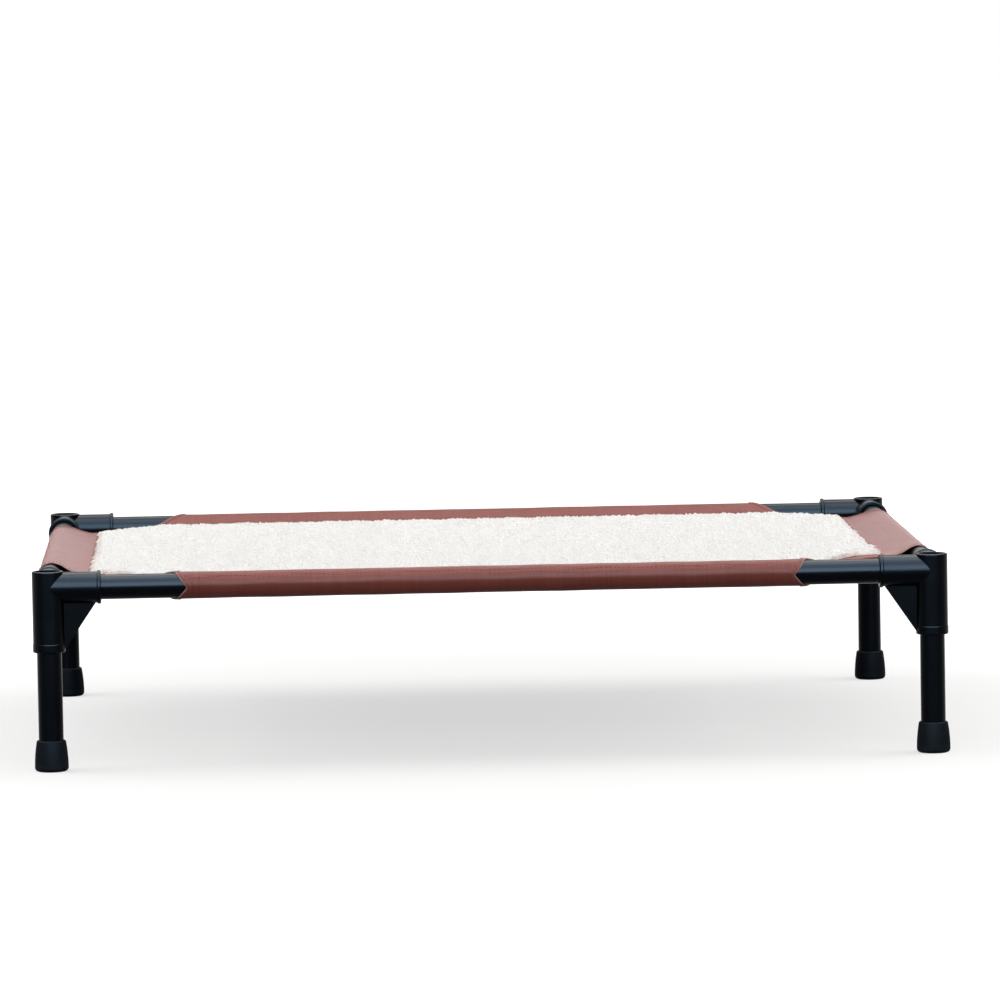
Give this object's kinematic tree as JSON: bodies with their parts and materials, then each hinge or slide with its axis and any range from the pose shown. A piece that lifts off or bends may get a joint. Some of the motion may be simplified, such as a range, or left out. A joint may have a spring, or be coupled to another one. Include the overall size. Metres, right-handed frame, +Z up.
{
  "type": "raised pet cot",
  "caption": "Raised pet cot: a rectangular frame of round tubes in moulded corner sockets, on push-in legs with rubber feet, holding a sewn cloth bed with a fleece face.",
  "frame": {"origin": "on the floor, under the middle of the bed", "axes": "+X along the long rails to the right, +Y along the short rails towards the rear, +Z up"},
  "size_m": [0.8148, 0.6368, 0.178],
  "materials": {
    "tube_black": "satin black powder coat on steel tube",
    "corner_plastic": "moulded black plastic with a fine satin grain",
    "foot_rubber": "matte black moulded rubber",
    "band_cloth": "chocolate brown plain-woven polyester",
    "fleece": "off-white short-pile fleece"
  },
  "bodies": {
    "bed_frame": {"corner_front_left": "corner_plastic", "corner_front_right": "corner_plastic", "corner_rear_right": "corner_plastic", "corner_rear_left": "corner_plastic", "rail_front": "tube_black", "rail_right": "tube_black", "rail_rear": "tube_black", "rail_left": "tube_black", "pocket_front": "band_cloth", "pocket_right": "band_cloth", "pocket_rear": "band_cloth", "pocket_left": "band_cloth", "tape_front_left": "band_cloth", "tape_front_right": "band_cloth", "tape_rear_right": "band_cloth", "tape_rear_left": "band_cloth", "base_cloth": "band_cloth", "fleece_panel": "fleece"},
    "push_leg_front_left": {"leg_front_left": "tube_black", "foot_front_left": "foot_rubber"},
    "push_leg_front_right": {"leg_front_right": "tube_black", "foot_front_right": "foot_rubber"},
    "push_leg_rear_right": {"leg_rear_right": "tube_black", "foot_rear_right": "foot_rubber"},
    "push_leg_rear_left": {"leg_rear_left": "tube_black", "foot_rear_left": "foot_rubber"}
  },
  "joints": [
    {"name": "leg_pull_front_left", "type": "slide", "parent": "bed_frame", "child": "push_leg_front_left", "axis": [0, 0, -1], "range_m": [0, 0.04]},
    {"name": "leg_pull_front_right", "type": "slide", "parent": "bed_frame", "child": "push_leg_front_right", "axis": [0, 0, -1], "range_m": [0, 0.04]},
    {"name": "leg_pull_rear_right", "type": "slide", "parent": "bed_frame", "child": "push_leg_rear_right", "axis": [0, 0, -1], "range_m": [0, 0.04]},
    {"name": "leg_pull_rear_left", "type": "slide", "parent": "bed_frame", "child": "push_leg_rear_left", "axis": [0, 0, -1], "range_m": [0, 0.04]}
  ]
}
